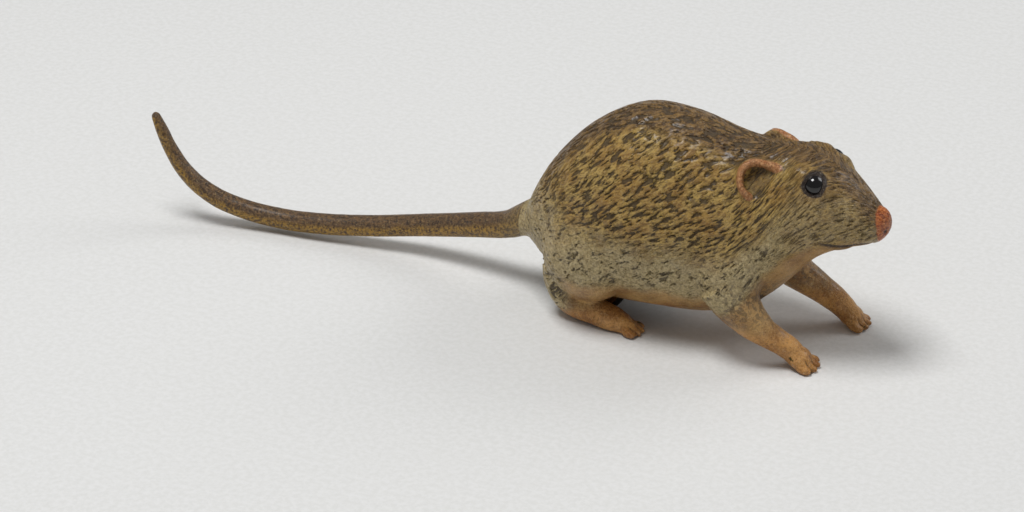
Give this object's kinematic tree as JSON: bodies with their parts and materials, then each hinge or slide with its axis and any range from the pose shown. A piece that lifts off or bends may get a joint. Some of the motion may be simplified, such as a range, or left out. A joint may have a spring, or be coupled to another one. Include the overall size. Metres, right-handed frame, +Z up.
{
  "type": "clockwork mouse",
  "caption": "Life-size crouching mouse of hollow cast and painted metal, with a curled tail, a winding key on its left flank and spring-driven wheels under its belly.",
  "frame": {"origin": "middle of the whole object's underside, on the floor", "axes": "+X from tail to nose, +Y to the mouse's left, +Z up"},
  "size_m": [0.1566, 0.0432, 0.0458],
  "materials": {
    "fur_paint": "satin varnish over brushed olive-brown paint",
    "tail_paint": "satin varnish, grey above and golden olive below",
    "leg_paint": "satin varnish, brown thigh fading to orange-tan paw",
    "ear_paint": "satin varnish, salmon rim",
    "eye_glass": "polished black bead",
    "brass": "stamped and lightly tarnished",
    "steel": "turned or rolled, oiled",
    "spring_steel": "blued",
    "rubber": "matt"
  },
  "bodies": {
    "mouse": {"body_shell_left": "fur_paint", "body_shell_right": "fur_paint", "belly_plate": "fur_paint", "tail": "tail_paint", "hind_leg_left": "leg_paint", "hind_leg_right": "leg_paint", "foreleg_left": "leg_paint", "foreleg_right": "leg_paint", "ear_left": "ear_paint", "ear_right": "ear_paint", "eye_left": "eye_glass", "eye_right": "eye_glass", "frame_plate_left": "brass", "frame_plate_right": "brass", "frame_pillars": "steel", "frame_strap": "brass", "mainspring": "spring_steel", "key_bush": "brass", "belly_screws": "steel", "strap_screws": "steel"},
    "great_wheel_group": {"great_wheel": "brass", "click_rivet": "steel", "click_spring": "spring_steel"},
    "winding_group": {"winding_arbor": "steel", "ratchet_wheel": "steel", "winding_key": "steel"},
    "click": {"click": "steel"},
    "second_group": {"second_arbor": "steel", "second_wheel": "brass", "second_pinion": "steel"},
    "axle_group": {"drive_axle": "steel", "drive_pinion": "steel", "drive_wheel_left": "brass", "drive_wheel_right": "brass", "tyre_left": "rubber", "tyre_right": "rubber"}
  },
  "joints": [
    {"name": "great_wheel_turn", "type": "hinge", "parent": "mouse", "child": "great_wheel_group", "pos_m": [0.03399, -0.00573, 0.02064], "axis": [0, -1, 0], "continuous": true},
    {"name": "winding_turn", "type": "hinge", "parent": "great_wheel_group", "child": "winding_group", "pos_m": [0.03399, -0.00573, 0.02064], "axis": [0, -1, 0], "range_deg": [0, 1800], "deforming": ["mainspring"]},
    {"name": "click_lift", "type": "hinge", "parent": "great_wheel_group", "child": "click", "pos_m": [0.02888, -0.00573, 0.02289], "axis": [0, 1, 0], "range_deg": [0, 10], "stiffness_Nm_per_rad": 0.001, "springref_deg": -5.73, "deforming": ["click_spring"]},
    {"name": "second_arbor_turn", "type": "hinge", "parent": "mouse", "child": "second_group", "pos_m": [0.02691, -0.00573, 0.01357], "axis": [0, -1, 0], "continuous": true},
    {"name": "drive_axle_turn", "type": "hinge", "parent": "mouse", "child": "axle_group", "pos_m": [0.01984, -0.00573, 0.0065], "axis": [0, -1, 0], "continuous": true}
  ],
  "couplings": [
    {"joint": "second_arbor_turn", "follows": "great_wheel_turn", "ratio": -4},
    {"joint": "drive_axle_turn", "follows": "great_wheel_turn", "ratio": 16}
  ]
}
